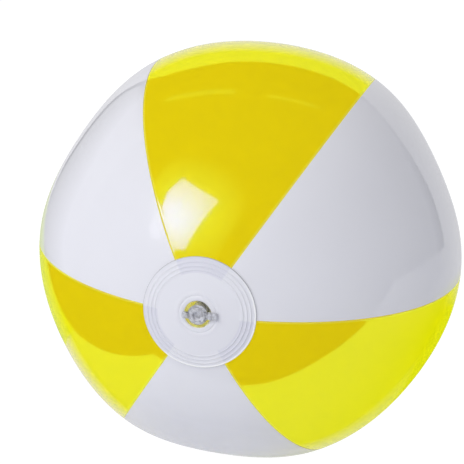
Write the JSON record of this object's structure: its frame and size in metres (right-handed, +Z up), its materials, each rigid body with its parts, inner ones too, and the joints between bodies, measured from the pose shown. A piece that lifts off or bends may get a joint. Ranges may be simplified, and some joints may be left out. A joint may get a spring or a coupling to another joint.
{
  "type": "beach ball",
  "caption": "Inflated vinyl ball of yellow and white gores in turn, with round white discs at both poles and a clear push-in valve with a captive stopper, for throwing on a beach or in a pool.",
  "frame": {"origin": "middle of the small flat patch under the ball, on the surface that it stands on", "axes": "+Z up; the pole axis is level and the valve looks along -Y; +X is to the right of someone who looks at the valve"},
  "size_m": [0.2835, 0.2881, 0.2776],
  "materials": {
    "yellow_vinyl": "gloss",
    "white_vinyl": "gloss",
    "clear_vinyl": "gloss"
  },
  "bodies": {
    "shell": {"yellow_gore_top": "yellow_vinyl", "white_gore_upper_left": "white_vinyl", "yellow_gore_lower_left": "yellow_vinyl", "white_gore_bottom": "white_vinyl", "yellow_gore_lower_right": "yellow_vinyl", "white_gore_upper_right": "white_vinyl", "valve_disc": "white_vinyl", "rear_disc": "white_vinyl", "valve_base": "clear_vinyl"},
    "stem": {"valve_stem": "clear_vinyl", "stopper_strap": "clear_vinyl"},
    "plug": {"stopper": "clear_vinyl"},
    "flap": {"check_flap": "clear_vinyl"}
  },
  "joints": [
    {"name": "valve_pull", "type": "slide", "parent": "shell", "child": "stem", "axis": [0, -1, 0], "range_m": [0, 0.022], "deforming": ["valve_base"]},
    {"name": "stopper_swing", "type": "hinge", "parent": "stem", "child": "plug", "pos_m": [0.009, -0.14505, 0.13761], "axis": [0, 0, 1], "range_deg": [0, 115]},
    {"name": "flap_swing", "type": "hinge", "parent": "stem", "child": "flap", "pos_m": [0, -0.12175, 0.14201], "axis": [1, 0, 0], "range_deg": [0, 60]}
  ]
}
